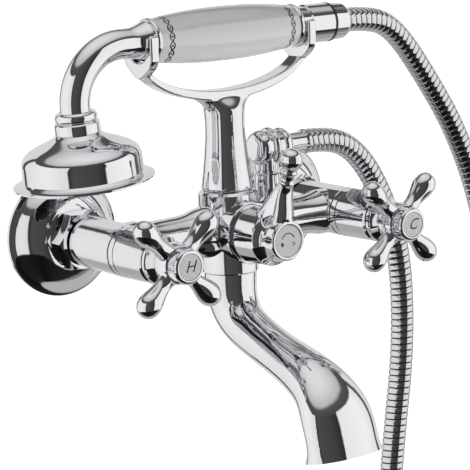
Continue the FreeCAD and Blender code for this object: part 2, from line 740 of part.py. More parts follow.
# ---------------------------------------------------------------- hand shower
def grip():
    """Barrel-shaped porcelain sleeve on the core tube."""
    half = grip_half_length
    axis = at(0, centre_depth, handset_height)
    barrel = turned(axis, RIGHT, [
        (-half, grip_end_radius),
        [(-0.7 * half, grip_radius - 1.5), (-0.35 * half, grip_radius - 0.3), (0, grip_radius),
         (0.35 * half, grip_radius - 0.3), (0.7 * half, grip_radius - 1.5),
         (half, grip_end_radius)]])
    return barrel.cut(rod(axis + LEFT * (half + 1), RIGHT, core_radius + touch, 2 * half + 2))


def grip_ring(along):
    """Chrome ring between the porcelain and the neck."""
    base = at(0, centre_depth, handset_height)
    start = grip_half_length + touch
    end = start + grip_ring_width
    ring = turned(base, along, [
        (start, grip_end_radius + 0.3),
        [(start + 0.8, grip_ring_radius), (end - 0.8, grip_ring_radius - 0.1),
         (end, grip_ring_radius - 0.9)]])
    return ring.cut(rod(base, along, core_radius + touch, end + 1))


def core_tube():
    base = at(-neck_end(), centre_depth, handset_height)
    return tube(base, RIGHT, core_radius, core_bore, 2 * neck_end())


def neck_end():
    return fork_half_span + yoke_thickness / 2 + 1.2


def neck_start():
    return grip_half_length + grip_ring_width + 2 * touch


def gooseneck():
    """Swan neck: a cone through the left yoke, then a bend that turns the spray down."""
    axis = at(0, centre_depth, handset_height)
    start, yoke_out = neck_start(), neck_end()
    cone = turned(axis, LEFT, [
        (start, neck_radius), (start + 1.0, neck_radius),
        [(fork_half_span, neck_radius - 0.9), (yoke_out, tube_radius + 0.6),
         (yoke_out + 5, tube_radius)],
        (bend_start, tube_radius)])
    hinge = at(-bend_start, centre_depth, handset_height - bend_radius)
    start_centre = at(-bend_start, centre_depth, handset_height)

    def bend(radius):
        disc = Part.Face(Part.Wire(Part.Circle(start_centre, LEFT, radius).toShape()))
        return disc.revolve(hinge, FRONT, bend_angle)

    end_centre, end_direction = bend_end()
    stub = rod(end_centre, end_direction, tube_radius - 1.0, collar_height + 1.0)
    outer = cone.fuse([bend(tube_radius), stub])
    bore = tube_radius - tube_wall
    outer = outer.cut(rod(axis + LEFT * (start - 1), LEFT, core_radius + touch, yoke_out - start + 1))
    outer = outer.cut(rod(axis + LEFT * (start - 1), LEFT, core_bore, bend_start - start + 1))
    return outer.cut(bend(bore - 1.0)).cut(rod(end_centre, end_direction, bore - 1.0, 30))


def bend_end():
    """Centre of the bend's lower end and the direction in which the spray leaves."""
    angle = math.radians(bend_angle)
    centre = at(-bend_start - bend_radius * math.sin(angle), centre_depth,
                handset_height - bend_radius + bend_radius * math.cos(angle))
    return centre, V(-math.cos(angle), 0, -math.sin(angle)).normalize()


def collar():
    """Rounded ring that closes the joint of bend and spray head."""
    base, along = bend_end()
    ring = turned(base, along, [
        (0, tube_radius), [(0.7, collar_radius - 0.7), (2.0, collar_radius),
                           (collar_height - 0.7, collar_radius - 0.2)],
        (collar_height, collar_radius - 0.9)])
    return ring.cut(rod(base, along, tube_radius - 1.0 + touch, collar_height))


def bell_base():
    base, along = bend_end()
    return base + along * (collar_height + touch), along


def swivel_nut():
    """Nut that draws the spray head up to the bend."""
    base, along = bell_base()
    radius, height = swivel_nut_radius, swivel_nut_height
    blank = turned(base, along, [
        (0, radius - 0.6), (0.6, radius), (height - 0.6, radius), (height, radius - 0.6)])
    return blank.cut(rod(base, along, tube_radius - 1.0 + touch, swivel_nut_height))


def bell():
    """Spun bell with an out-curled brim, closed below by the spray plate."""
    start, along = bell_base()
    base = start + along * (swivel_nut_height + touch)
    drop, wall, rim = bell_height, bell_wall, bell_rim_radius
    shoulder = swivel_nut_radius

    def dome(inset):
        reach = bell_radius - shoulder
        return [(drop * down + inset, shoulder + reach * out - inset)
                for down, out in bell_curve]

    curl = drop - brim_height
    skin = turned(base, along, [
        (0, shoulder), dome(0), (curl, bell_radius),
        [(curl + 0.40 * brim_height, bell_radius + 0.35 * (rim - bell_radius)),
         (curl + 0.72 * brim_height, rim)],
        (drop - 0.3, rim), (drop, rim - 0.4)])
    hollow = turned(base, along, [
        (wall, shoulder - 3.0), dome(wall), (curl, bell_radius - wall),
        (drop + 1, bell_radius - wall)])
    return skin.cut(hollow).cut(rod(base, along, tube_radius - 2.6, 5))


def plate_base():
    start, along = bell_base()
    reach = swivel_nut_height + touch + bell_height - 0.6 - spray_plate_thickness
    return start + along * reach, along


def spray_plate():
    """Perforated plate screwed up into the bell."""
    base, along = plate_base()
    radius = bell_radius - bell_wall - touch
    plate = turned(base, along, [
        (0, radius), (spray_plate_thickness, radius),
        [(spray_plate_thickness + 0.4, radius * 0.5), (spray_plate_thickness + 0.55, 0.5)]])
    out = across(along)
    side = along.cross(out)
    holes = []
    for count, ring in nozzle_rings:
        for k in range(count):
            angle = 2 * math.pi * k / count
            foot = base + out * (ring * math.cos(angle)) + side * (ring * math.sin(angle))
            holes.append(rod(foot - along, along, nozzle_radius, spray_plate_thickness + 3))
    holes.append(rod(base - along, along, screw_radius, spray_plate_thickness + 3))
    return plate.cut(holes)


def spray_gasket():
    base, along = plate_base()
    radius = bell_radius - bell_wall - touch
    thickness = 1.8
    return tube(base - along * (thickness + touch), along, radius - 0.4, radius - 4.0, thickness)


def end_fitting():
    """Cylinder beyond the right yoke, with the neck that lies in it."""
    axis = at(0, centre_depth, handset_height)
    start, yoke_out = neck_start(), neck_end()
    outer = turned(axis, RIGHT, [
        (start, neck_radius - 0.4), (yoke_out - 0.7, neck_radius - 0.7),
        (yoke_out, end_fitting_radius), (end_fitting_end, end_fitting_radius)])
    outer = outer.cut(rod(axis, RIGHT, core_radius + touch, yoke_out))
    return outer.cut(rod(axis, RIGHT, core_bore, end_fitting_end + 1))


def black_washer():
    base = at(end_fitting_end + touch, centre_depth, handset_height)
    return tube(base, RIGHT, end_fitting_radius + 0.1, core_bore, black_washer_width)


def nut_start():
    return end_fitting_end + black_washer_width + 2 * touch


def cone_nut():
    """Conical hose nut."""
    axis = at(0, centre_depth, handset_height)
    start = nut_start()
    outer = turned(axis, RIGHT, [
        (start, cone_nut_radius), (cone_nut_end - 3.4, cone_nut_radius - 0.4),
        [(cone_nut_end - 1.2, cone_nut_front_radius + 0.2), (cone_nut_end, cone_nut_front_radius - 0.8)]])
    return outer.cut(rod(axis, RIGHT, hose_radius + 0.2, cone_nut_end + 1))


def handset_ferrule():
    """Crimped end of the hose inside the cone nut."""
    start = nut_start()
    base = at(start, centre_depth, handset_height)
    return tube(base, RIGHT, hose_radius + 0.1, hose_bore, cone_nut_end - start)


# ---------------------------------------------------------------- spout
def section(station, inset=0.0):
    """One elliptical section of the spout; the lean tips its plane towards the wall."""
    forward, height, lean, wide, thick = station
    angle = math.radians(lean)
    across_flow = V(0, -math.cos(angle), math.sin(angle))
    centre = at(0, centre_depth + forward, height)
    return ellipse_wire(centre, RIGHT, across_flow, wide - inset, thick - inset)


def flow_direction(station):
    angle = math.radians(station[2])
    return V(0, -math.sin(angle), -math.cos(angle))


def spout():
    """Cast spout: a round foot that leans forward and fans out into a wide mouth."""
    outer = Part.makeLoft([section(s) for s in spout_stations], True, False)
    top = spout_stations[0][1]
    ceiling = (0.0, top - spout_wall) + spout_stations[0][2:]
    inner = Part.makeLoft([section(s, spout_wall) for s in (ceiling,) + spout_stations[1:]], True, False)
    axis = at(0, centre_depth, top)
    spigot = rod(axis, UP, spigot_radius, spigot_length)
    solid = outer.fuse(spigot).cut(inner)
    solid = solid.cut(rod(axis + DOWN * 3, UP, spigot_radius - 2.4, spigot_length + 4))
    groove = tube(axis + UP * 3.5, UP, spigot_radius + 1, spigot_radius - 1.4, 2.4)
    return solid.cut(groove)


def spout_seal():
    axis = at(0, centre_depth, spout_stations[0][1] + 3.6)
    return tube(axis, UP, spigot_radius, spigot_radius - 1.4 + touch, 2.2)


def flow_insert():
    """Elliptical flow straightener just inside the mouth, drilled with a staggered grid."""
    mouth = spout_stations[-1]
    forward, height, lean, wide, thick = mouth
    along = flow_direction(mouth)
    deep = V(0, -math.cos(math.radians(lean)), math.sin(math.radians(lean)))
    top = at(0, centre_depth + forward, height) - along * (insert_recess + insert_thickness)
    half_width = wide - spout_wall - insert_clearance
    half_thickness = thick - spout_wall - insert_clearance
    plate = Part.Face(ellipse_wire(top, RIGHT, deep, half_width, half_thickness))
    plate = plate.extrude(along * insert_thickness)
    margin = insert_hole_radius + 0.8
    rows = int(half_thickness / insert_pitch) + 1
    columns = int(half_width / insert_pitch) + 1
    holes = []
    for row in range(-rows, rows + 1):
        for column in range(-columns, columns + 1):
            sideways = (column + 0.5 * (row % 2)) * insert_pitch
            inwards = row * insert_pitch * math.sin(math.pi / 3)
            share = (sideways / (half_width - margin)) ** 2 + (inwards / (half_thickness - margin)) ** 2
            if share < 1:
                foot = top + RIGHT * sideways + deep * inwards - along
                holes.append(rod(foot, along, insert_hole_radius, insert_thickness + 2))
    return plate.cut(holes)


# ---------------------------------------------------------------- shower outlet
def outlet_nipple():
    """Threaded nipple with a saucer flange on the cross tube."""
    base = at(outlet_offset, centre_depth, 0)
    foot = cross_radius - 2
    pad = outlet_pad_height
    outer = turned(base, UP, [
        (foot, nipple_radius - 1.0), (pad + touch, nipple_radius - 1.0),
        (pad + touch, nipple_radius), (nipple_top - 3.4, nipple_radius),
        [(nipple_top - 2.2, nipple_radius + 0.2), (nipple_top - 1.2, nipple_flange_radius)],
        (nipple_top, nipple_flange_radius)])
    return outer.cut(rod(base, UP, nipple_bore, nipple_top + 1))


def outlet_elbow():
    """Swivelling elbow that turns the outlet towards the hose."""
    low = at(outlet_offset, centre_depth, nipple_top + touch)
    stem = rod(low, UP, nipple_radius - 0.4, outlet_height - nipple_top)
    axis = at(outlet_offset, centre_depth, outlet_height)
    barrel = turned(axis, RIGHT, [
        (-9.5, elbow_radius - 4.6), [(-8.4, elbow_radius - 2.0), (-6.4, elbow_radius - 0.6),
                                    (-3.0, elbow_radius - 0.3)],
        (-2.4, elbow_radius - 0.3), (-2.0, elbow_radius - 1.2), (-0.6, elbow_radius - 1.2),
        [(0.4, swivel_ring_radius - 0.4), (1.6, swivel_ring_radius), (2.8, swivel_ring_radius - 0.4)],
        (3.6, elbow_radius - 1.4), (elbow_reach, elbow_radius - 1.4)])
    body = stem.fuse(barrel)
    body = body.cut(rod(low - UP, UP, elbow_bore, outlet_height - nipple_top + 1))
    return body.cut(rod(axis, RIGHT, elbow_bore, 10))


def swivel_start():
    return outlet_offset + elbow_reach + touch


def outlet_swivel_nut():
    """Domed nut that holds the hose's tail against the elbow."""
    base = at(swivel_start(), centre_depth, outlet_height)
    dome = turned(base, RIGHT, [
        (0, elbow_radius - 1.2), [(1.2, elbow_radius - 0.3), (3.4, elbow_radius - 0.4),
                                 (6.0, elbow_radius - 2.2), (7.4, hose_ferrule_radius + 0.5)]])
    cavity = rod(base, RIGHT, elbow_bore + 2.0, 5.0)
    return dome.cut(cavity).cut(rod(base, RIGHT, elbow_bore, 10))


def non_return_valve():
    """Spring-loaded check valve cartridge in the outlet's elbow."""
    base = at(swivel_start(), centre_depth, outlet_height)
    shell = rod(base, RIGHT, elbow_bore + 1.9, 3.0)
    holes = [rod(base + V(-1, 0, 0) + side * 2.6, RIGHT, 1.1, 6)
             for side in (UP, DOWN, FRONT, V(0, 1, 0))]
    return shell.cut(holes)


def outlet_washer():
    base = at(swivel_start() + 3.0 + touch, centre_depth, outlet_height)
    return tube(base, RIGHT, elbow_bore + 1.9, hose_bore, 1.8)


def outlet_ferrule():
    """Smooth crimped ferrule of the hose."""
    start = swivel_start() + 7.4 + touch
    base = at(0, centre_depth, outlet_height)
    outer = turned(base, RIGHT, [
        (start, hose_ferrule_radius), (hose_start - 1.0, hose_ferrule_radius + 0.1),
        (hose_start - 0.1, hose_ferrule_radius + 0.9)])
    return outer.cut(rod(base, RIGHT, hose_bore, hose_start + 1))


def shower_hose():
    """Flexible hose as straight runs joined by tangent arcs along its route."""
    points = [at(*point) for point in hose_route]
    edges = []
    start = points[0]
    radii = []
    for before, corner, after in zip(points, points[1:], points[2:]):
        into = (corner - before).normalize()
        away = (after - corner).normalize()
        shorter = min((corner - before).Length, (after - corner).Length)
        turn = into.getAngle(away)
        setback = 0.45 * shorter
        radius = setback / math.tan(turn / 2)
        radii.append(radius)
        first = corner - into * setback
        last = corner + away * setback
        centre_way = (away - into).normalize()
        centre = corner + centre_way * (radius / math.cos(turn / 2))
        middle = centre - centre_way * radius
        edges.append(Part.LineSegment(start, first).toShape())
        edges.append(Part.Arc(first, middle, last).toShape())
        start = last
    edges.append(Part.LineSegment(start, points[-1]).toShape())
    path = Part.Wire(edges)
    ring = Part.Wire(Part.Circle(points[0], RIGHT, hose_radius).toShape())
    solid = path.makePipeShell([ring], True, False)
    section_area = math.pi * hose_radius ** 2
    print("hose radii", [round(radius, 1) for radius in radii])
    print("hose length", round(path.Length, 1), "volume ratio",
          round(solid.Volume / (section_area * path.Length), 4))
    return solid


# ---------------------------------------------------------------- build
os.makedirs("parts", exist_ok=True)

washers = []
seals = []
for prefix, x in (("hot", -inlet_spacing / 2), ("cold", inlet_spacing / 2)):
    save(prefix + "_wall_union", wall_union(x))
    save(prefix + "_escutcheon", escutcheon(x))
    save(prefix + "_union_nut", union_nut(x))
    washers.append(tube(at(x, union_front_depth, 0), FRONT, tail_collar_radius, union_bore - 1,
                        washer_thickness))
    seals.append(seat_seal(x))
    save(prefix + "_cartridge_body", cartridge_body(x))
    save(prefix + "_fixed_disc", ceramic_disc(x, fixed_disc_depth(), 0.0))
    save(prefix + "_bonnet_sleeve", bonnet_sleeve(x))
    save(prefix + "_moving_disc", ceramic_disc(x, moving_disc_depth(), 90.0))
    save(prefix + "_spindle", valve_spindle(x))
    save(prefix + "_handle_cross", handle_cross(x))
    save(prefix + "_handle_skirt", handle_skirt(x))
    save(prefix + "_handle_screw", handle_screw(x))
    save(prefix + "_handle_cap", handle_cap(x))
    save(prefix + "_index_disc", index_disc(x))
save("union_washers", *washers)
save("cartridge_seat_seals", *seals)

save("mixer_body", mixer_body())
save("diverter_bonnet", diverter_bonnet())
save("diverter_plug", diverter_plug())
save("diverter_lever", diverter_lever())
save("lever_screw", lever_screw())
save("lever_index_disc", lever_index_disc())

save("cradle", cradle())
save("cradle_stud", rod(at(0, centre_depth, boss_top - stud_length / 2 + touch), UP, stud_radius,
                        stud_length - 2 * touch))

save("grip_sleeve", grip())
save("grip_ring_left", grip_ring(LEFT))
save("grip_ring_right", grip_ring(RIGHT))
save("handset_core_tube", core_tube())
save("gooseneck", gooseneck())
save("gooseneck_collar", collar())
save("spray_swivel_nut", swivel_nut())
save("spray_bell", bell())
save("spray_plate", spray_plate())
save("spray_gasket", spray_gasket())
save("handset_end_fitting", end_fitting())
save("handset_washer", black_washer())
save("hose_cone_nut", cone_nut())
save("handset_hose_ferrule", handset_ferrule())

save("spout", spout())
save("spout_seal", spout_seal())
save("spout_flow_insert", flow_insert())

save("outlet_nipple", outlet_nipple())
save("outlet_elbow", outlet_elbow())
save("outlet_swivel_nut", outlet_swivel_nut())
save("non_return_valve", non_return_valve())
save("outlet_washer", outlet_washer())
save("outlet_hose_ferrule", outlet_ferrule())
save("shower_hose", shower_hose())
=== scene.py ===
import bisect
import math

import bmesh
import bpy
from mathutils import Matrix, Vector


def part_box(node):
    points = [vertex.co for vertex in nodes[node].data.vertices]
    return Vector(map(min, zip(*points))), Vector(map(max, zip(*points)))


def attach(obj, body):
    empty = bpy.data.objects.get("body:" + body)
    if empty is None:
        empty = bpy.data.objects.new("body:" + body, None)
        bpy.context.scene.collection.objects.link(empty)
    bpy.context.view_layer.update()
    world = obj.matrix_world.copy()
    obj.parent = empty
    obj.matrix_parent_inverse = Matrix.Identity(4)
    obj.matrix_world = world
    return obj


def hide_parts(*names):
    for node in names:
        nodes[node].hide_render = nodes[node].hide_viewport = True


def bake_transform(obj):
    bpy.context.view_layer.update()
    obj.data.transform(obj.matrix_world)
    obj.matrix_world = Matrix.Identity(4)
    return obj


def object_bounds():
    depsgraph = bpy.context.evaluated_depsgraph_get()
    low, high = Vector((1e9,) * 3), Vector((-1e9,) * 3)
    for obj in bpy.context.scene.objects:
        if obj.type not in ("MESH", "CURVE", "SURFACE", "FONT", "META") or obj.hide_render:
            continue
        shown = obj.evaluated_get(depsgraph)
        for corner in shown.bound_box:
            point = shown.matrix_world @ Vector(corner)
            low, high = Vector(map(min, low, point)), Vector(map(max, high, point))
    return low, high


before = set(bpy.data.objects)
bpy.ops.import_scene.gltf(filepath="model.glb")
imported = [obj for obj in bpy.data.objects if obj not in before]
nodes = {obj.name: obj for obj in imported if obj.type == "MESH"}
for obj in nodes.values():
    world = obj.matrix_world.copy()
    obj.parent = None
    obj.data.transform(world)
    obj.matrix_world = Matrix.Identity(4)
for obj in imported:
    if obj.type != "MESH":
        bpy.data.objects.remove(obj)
cad_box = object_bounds()

# ---------------------------------------------------------------- camera
# A long portrait lens, a little above the valves and well to the left of the mixer, so that
# both handles, the spout's mouth and the hand shower show in three-quarter view.
MM = 0.001
camera_turn, camera_tilt, camera_roll = -36.15, 11.35, -2.20
camera_aim = Vector((26.0, -25.5, -4.2)) * MM
camera_distance = 1.13
camera_data = bpy.data.cameras.new("camera")
camera_data.sensor_width = 36.0
camera_data.lens = 150.2
camera = bpy.data.objects.new("camera", camera_data)
bpy.context.scene.collection.objects.link(camera)
orbit = (Matrix.Rotation(math.radians(camera_turn), 4, "Z")
         @ Matrix.Rotation(math.radians(90 - camera_tilt), 4, "X")
         @ Matrix.Rotation(math.radians(camera_roll), 4, "Z"))
camera.matrix_world = (Matrix.Translation(camera_aim) @ orbit
                       @ Matrix.Translation((0, 0, camera_distance)))
bpy.context.scene.camera = camera


# ---------------------------------------------------------------- studio
# A white tent with two tall soft boxes, a dark gap between them round the camera, and a dark
# floor in front: polished metal shows all of these. The camera itself sees plain white.
def add_node(tree, kind, settings=None, links=None):
    """Add a node, set its attributes or sockets, and link the given outputs to its inputs."""
    made = tree.nodes.new(kind)
    for name, value in (settings or {}).items():
        if isinstance(name, str) and hasattr(made, name):
            setattr(made, name, value)
        else:
            made.inputs[name].default_value = value
    for name, socket in (links or {}).items():
        tree.links.new(socket, made.inputs[name])
    return made


def calculate(tree, operation, *values):
    """Output of a math node, whose values are numbers or outputs of other nodes."""
    made = tree.nodes.new("ShaderNodeMath")
    made.operation = operation
    for place, value in enumerate(values):
        if isinstance(value, bpy.types.NodeSocket):
            tree.links.new(value, made.inputs[place])
        else:
            made.inputs[place].default_value = value
    return made.outputs[0]


def colour(code):
    """Linear RGBA of an sRGB hex colour."""
    parts = [int(code[i:i + 2], 16) / 255 for i in (1, 3, 5)]
    return [c / 12.92 if c <= 0.04045 else ((c + 0.055) / 1.055) ** 2.4 for c in parts] + [1.0]


def grey_ramp(tree, factor, stops):
    """Grey levels along a factor; each stop is (place, level)."""
    ramp = add_node(tree, "ShaderNodeValToRGB", links={"Fac": factor})
    points = ramp.color_ramp.elements
    while len(points) < len(stops):
        points.new(0.5)
    for point, (place, level) in zip(points, stops):
        point.position = place
        point.color = (level, level, level, 1)
    return ramp.outputs["Color"]


def compass(degrees):
    """Place on the azimuth ramps of a direction so many degrees right of straight ahead."""
    return (degrees + 180) / 360


def height_place(degrees):
    """Place on the elevation ramps of a direction so many degrees above the horizon."""
    return (math.sin(math.radians(degrees)) + 1) / 2


def mix_grey(tree, factor, low, high):
    """Blend of two colours: low where the factor is 0, high where it is 1."""
    mixed = add_node(tree, "ShaderNodeMix", {"data_type": "RGBA"})
    tree.links.new(factor, mixed.inputs["Factor"])
    tree.links.new(low, mixed.inputs[6])
    tree.links.new(high, mixed.inputs[7])
    return mixed.outputs[2]


world = bpy.data.worlds.new("studio")
world.use_nodes = True
bpy.context.scene.world = world
sky = world.node_tree
sky.nodes.clear()
direction = add_node(sky, "ShaderNodeTexCoord").outputs["Generated"]
parts = add_node(sky, "ShaderNodeSeparateXYZ", links={0: direction})
towards = calculate(sky, "MULTIPLY", parts.outputs["Y"], -1.0)
azimuth = calculate(sky, "ARCTAN2", parts.outputs["X"], towards)
around = add_node(sky, "ShaderNodeMapRange",
                  {"From Min": -math.pi, "From Max": math.pi}, {"Value": azimuth})
upward = add_node(sky, "ShaderNodeMapRange",
                  {"From Min": -1.0, "From Max": 1.0}, {"Value": parts.outputs["Z"]})
boxes = grey_ramp(sky, around.outputs[0], [
    (compass(-180), 0.80), (compass(-176), 0.07), (compass(-168), 0.07), (compass(-165), 0.85),
    (compass(-130), 0.97), (compass(-100), 1.0), (compass(-61), 0.85), (compass(-59.5), 0.03),
    (compass(-50), 0.08), (compass(-6), 0.06), (compass(12), 0.03), (compass(13.5), 0.95),
    (compass(60), 1.05), (compass(84), 0.90), (compass(86), 0.10), (compass(94), 0.10),
    (compass(96), 0.85), (compass(140), 0.72), (compass(180), 0.80)])
floor_grey = grey_ramp(sky, around.outputs[0], [
    (compass(-150), 0.45), (compass(-118), 0.02), (compass(-36), 0.006), (compass(50), 0.02),
    (compass(84), 0.50)])
ceiling = grey_ramp(sky, upward.outputs[0], [
    (height_place(34), 0.07), (height_place(45), 0.10), (height_place(50), 0.55),
    (height_place(80), 0.85)])
over = grey_ramp(sky, upward.outputs[0], [(height_place(33), 0.0), (height_place(35), 1.0)])
under = grey_ramp(sky, upward.outputs[0], [(height_place(-31), 1.0), (height_place(-28), 0.0)])
studio = mix_grey(sky, over, mix_grey(sky, under, boxes, floor_grey), ceiling)
backdrop = add_node(sky, "ShaderNodeRGB")
backdrop.outputs[0].default_value = colour("#ffffff")
seen = add_node(sky, "ShaderNodeLightPath").outputs["Is Camera Ray"]
background = add_node(sky, "ShaderNodeBackground", {"Strength": 1.0},
                      {"Color": mix_grey(sky, seen, studio, backdrop.outputs[0])})
add_node(sky, "ShaderNodeOutputWorld", links={"Surface": background.outputs[0]})
bpy.context.scene.view_settings.view_transform = "Standard"

floor_drop, floor_reach = 4 * MM, 12.0
bm = bmesh.new()
bmesh.ops.create_grid(bm, x_segments=1, y_segments=1, size=floor_reach)
bmesh.ops.translate(bm, verts=bm.verts, vec=(0, 0, cad_box[0].z - floor_drop))
floor_mesh = bpy.data.meshes.new("floor")
bm.to_mesh(floor_mesh)
bm.free()
floor = bpy.data.objects.new("floor", floor_mesh)
bpy.context.scene.collection.objects.link(floor)
floor.visible_glossy = False
floor_paint = bpy.data.materials.new("matt_white_sweep")
floor_paint.use_nodes = True
paint = floor_paint.node_tree.nodes["Principled BSDF"]
paint.inputs["Base Color"].default_value = colour("#f2f2f2")
paint.inputs["Roughness"].default_value = 0.9
paint.inputs["Emission Color"].default_value = colour("#ffffff")
paint.inputs["Emission Strength"].default_value = 0.75
floor.data.materials.append(floor_paint)


# ---------------------------------------------------------------- finishes of cast and turned metal
# Every visible metal piece is brass with a nickel and chrome plate. Castings are buffed by
# hand, which leaves faint waves; turned pieces are truer, with a trace of the cutting tool.
def new_finish(name, code, metallic, roughness):
    """Material with its shader's base colour, metallic and roughness set."""
    made = bpy.data.materials.new(name)
    made.use_nodes = True
    shader = made.node_tree.nodes["Principled BSDF"]
    shader.inputs["Base Color"].default_value = colour(code)
    shader.inputs["Metallic"].default_value = metallic
    shader.inputs["Roughness"].default_value = roughness
    return made, made.node_tree, shader


def wear(tree, shader, size, low, high):
    """Roughness that varies in patches of about the given size in metres."""
    place = add_node(tree, "ShaderNodeTexCoord").outputs["Object"]
    cloud = add_node(tree, "ShaderNodeTexNoise", {"Scale": 1 / size, "Detail": 3.0},
                     {"Vector": place})
    patches = add_node(tree, "ShaderNodeMapRange",
                       {"From Min": 0.35, "From Max": 0.65, "To Min": low, "To Max": high},
                       {"Value": cloud.outputs["Fac"]})
    tree.links.new(patches.outputs["Result"], shader.inputs["Roughness"])


def relief(tree, shader, size, height, stretch=(1, 1, 1)):
    """Bump of soft lumps of the given size and height in metres, drawn out along an axis."""
    place = add_node(tree, "ShaderNodeTexCoord").outputs["Object"]
    mapped = add_node(tree, "ShaderNodeMapping", {"Scale": stretch}, {"Vector": place})
    lumps = add_node(tree, "ShaderNodeTexNoise", {"Scale": 1 / size, "Detail": 2.0},
                     {"Vector": mapped.outputs["Vector"]})
    bump = add_node(tree, "ShaderNodeBump", {"Strength": 1.0, "Distance": height},
                    {"Height": lumps.outputs["Fac"]})
    tree.links.new(bump.outputs["Normal"], shader.inputs["Normal"])


def chrome_plate(name, wave_size, wave_height, low, high):
    """Chrome plate: a cool near-mirror; the brass under it shows as waves in the reflections."""
    made, tree, shader = new_finish(name, "#e9eaec", 1.0, low)
    wear(tree, shader, 2.2 * wave_size, low, high)
    relief(tree, shader, wave_size, wave_height)
    return made


cast_chrome = chrome_plate("buffed_chromed_casting", wave_size=9 * MM, wave_height=0.030 * MM,
                           low=0.025, high=0.055)
turned_chrome = chrome_plate("turned_chromed_brass", wave_size=14 * MM, wave_height=0.010 * MM,
                             low=0.020, high=0.040)
spun_chrome = chrome_plate("spun_chromed_sheet", wave_size=11 * MM, wave_height=0.022 * MM,
                           low=0.025, high=0.050)


def dress(finish, *names):
    """Give CAD nodes their finish."""
    for name in names:
        nodes[name].data.materials.clear()
        nodes[name].data.materials.append(finish)


# ---------------------------------------------------------------- shower hose
# A flexible hose of chromed brass strip, wound into an interlocked spiral over a rubber tube.
# It leaves the outlet elbow, hangs in one long loop and climbs to the hand shower's cone nut.
hose_radius, groove_radius = 7.0 * MM, 6.30 * MM
shoulder_radius = hose_radius - 0.12 * MM
strip_pitch = 3.8 * MM
turn_steps = 22
crease_angle = math.radians(38)
valve_lift = 8.0             # height of the valves above the frame's origin, in millimetres
hose_points = (
    # right, depth, height above the valves, in millimetres
    (54.0, 55.5, 42.0), (74.0, 55.5, 42.0), (92.6, 55.8, 32.0), (108.0, 56.5, 10.0),
    (123.0, 58.0, -30.0), (122.5, 60.0, -88.0), (111.0, 61.5, -150.0), (100.5, 62.0, -236.0),
    (96.0, 61.0, -338.0), (99.0, 60.0, -437.0), (126.0, 59.0, -475.0), (170.0, 58.0, -479.0),
    (202.0, 57.5, -447.0), (208.0, 57.0, -357.0), (207.6, 56.5, -245.0), (205.0, 56.0, -142.0),
    (200.5, 55.7, -63.0), (190.5, 55.5, -10.0), (171.0, 55.5, 36.0), (145.5, 55.5, 73.5),
    (124.5, 55.5, 99.5), (106.5, 55.5, 108.0), (85.4, 55.5, 108.0),
)
route = [Vector((right, -depth, height + valve_lift)) * MM for right, depth, height in hose_points]

# The line is the same quadratic curve as the CAD's.
line_data = bpy.data.curves.new("hose_line", "CURVE")
line_data.dimensions = "3D"
line = line_data.splines.new("NURBS")
line.points.add(len(route) - 1)
for knot, point in zip(line.points, route):
    knot.co = (*point, 1)
line.order_u = 3
line.use_endpoint_u = True
line.resolution_u = 24
line_object = bpy.data.objects.new("hose_line", line_data)
centreline = [v.co.copy() for v in bpy.data.meshes.new_from_object(line_object).vertices]
bpy.data.objects.remove(line_object)
reached = [0.0]
for before, after in zip(centreline, centreline[1:]):
    reached.append(reached[-1] + (after - before).length)
hose_length = reached[-1]
tangents = []
for k in range(len(centreline)):
    low_end, high_end = max(k - 1, 0), min(k + 1, len(centreline) - 1)
    tangents.append((centreline[high_end] - centreline[low_end]).normalized())


def along_hose(distance, sideways, upwards):
    """Point beside the hose's centreline, from its distance along it."""
    k = min(bisect.bisect_right(reached, distance), len(reached) - 1)
    before, after = centreline[k - 1], centreline[k]
    share = (distance - reached[k - 1]) / (reached[k] - reached[k - 1])
    tangent = tangents[k - 1].lerp(tangents[k], share).normalized()
    side = Vector((0, -1, 0))
    side = (side - tangent * side.dot(tangent)).normalized()
    return before.lerp(after, share) + side * sideways + tangent.cross(side) * upwards


# One turn of the strip is spun round a straight line, doubled until it is long enough, cut to
# length and closed at both ends, and then laid along the hose's line.
bm = bmesh.new()
profile = [(0.0, groove_radius), (0.05, shoulder_radius), (0.18, hose_radius),
           (0.70, hose_radius), (0.84, shoulder_radius), (0.89, groove_radius),
           (1.0, groove_radius)]
corners = [bm.verts.new(((share - 1) * strip_pitch, 0, radius)) for share, radius in profile]
edges = [bm.edges.new(pair) for pair in zip(corners, corners[1:])]
bmesh.ops.spin(bm, geom=corners + edges, axis=(1, 0, 0), cent=(0, 0, 0),
               dvec=(strip_pitch / turn_steps, 0, 0), angle=2 * math.pi, steps=turn_steps,
               use_duplicate=False)
wound = strip_pitch
while wound < hose_length + strip_pitch:
    copied = bmesh.ops.duplicate(bm, geom=bm.verts[:] + bm.edges[:] + bm.faces[:])
    bmesh.ops.translate(bm, vec=(wound, 0, 0), verts=[
        item for item in copied["geom"] if isinstance(item, bmesh.types.BMVert)])
    wound *= 2
bmesh.ops.remove_doubles(bm, verts=bm.verts, dist=0.01 * MM)
for cut_at, outwards in ((0.0, -1), (hose_length, 1)):
    bmesh.ops.bisect_plane(bm, geom=bm.verts[:] + bm.edges[:] + bm.faces[:], dist=0.001 * MM,
                           plane_co=(cut_at, 0, 0), plane_no=(outwards, 0, 0), clear_outer=True)
bmesh.ops.holes_fill(bm, edges=[e for e in bm.edges if e.is_boundary], sides=0)
seam_radius = groove_radius + 0.1 * MM
# Faces at the bottom of the seam take the second material, the dark painted shade.
for face in bm.faces:
    middle = face.calc_center_median()
    face.material_index = int(math.hypot(middle.y, middle.z) < seam_radius)
for vert in bm.verts:
    distance, sideways, upwards = vert.co
    vert.co = along_hose(distance, sideways, upwards)
bmesh.ops.recalc_face_normals(bm, faces=bm.faces)
hose_mesh = bpy.data.meshes.new("spiral_hose")
bm.to_mesh(hose_mesh)
bm.free()
for face in hose_mesh.polygons:
    face.use_smooth = True
hose_mesh.set_sharp_from_angle(angle=crease_angle)
spiral_hose = bpy.data.objects.new("spiral_hose", hose_mesh)
bpy.context.scene.collection.objects.link(spiral_hose)
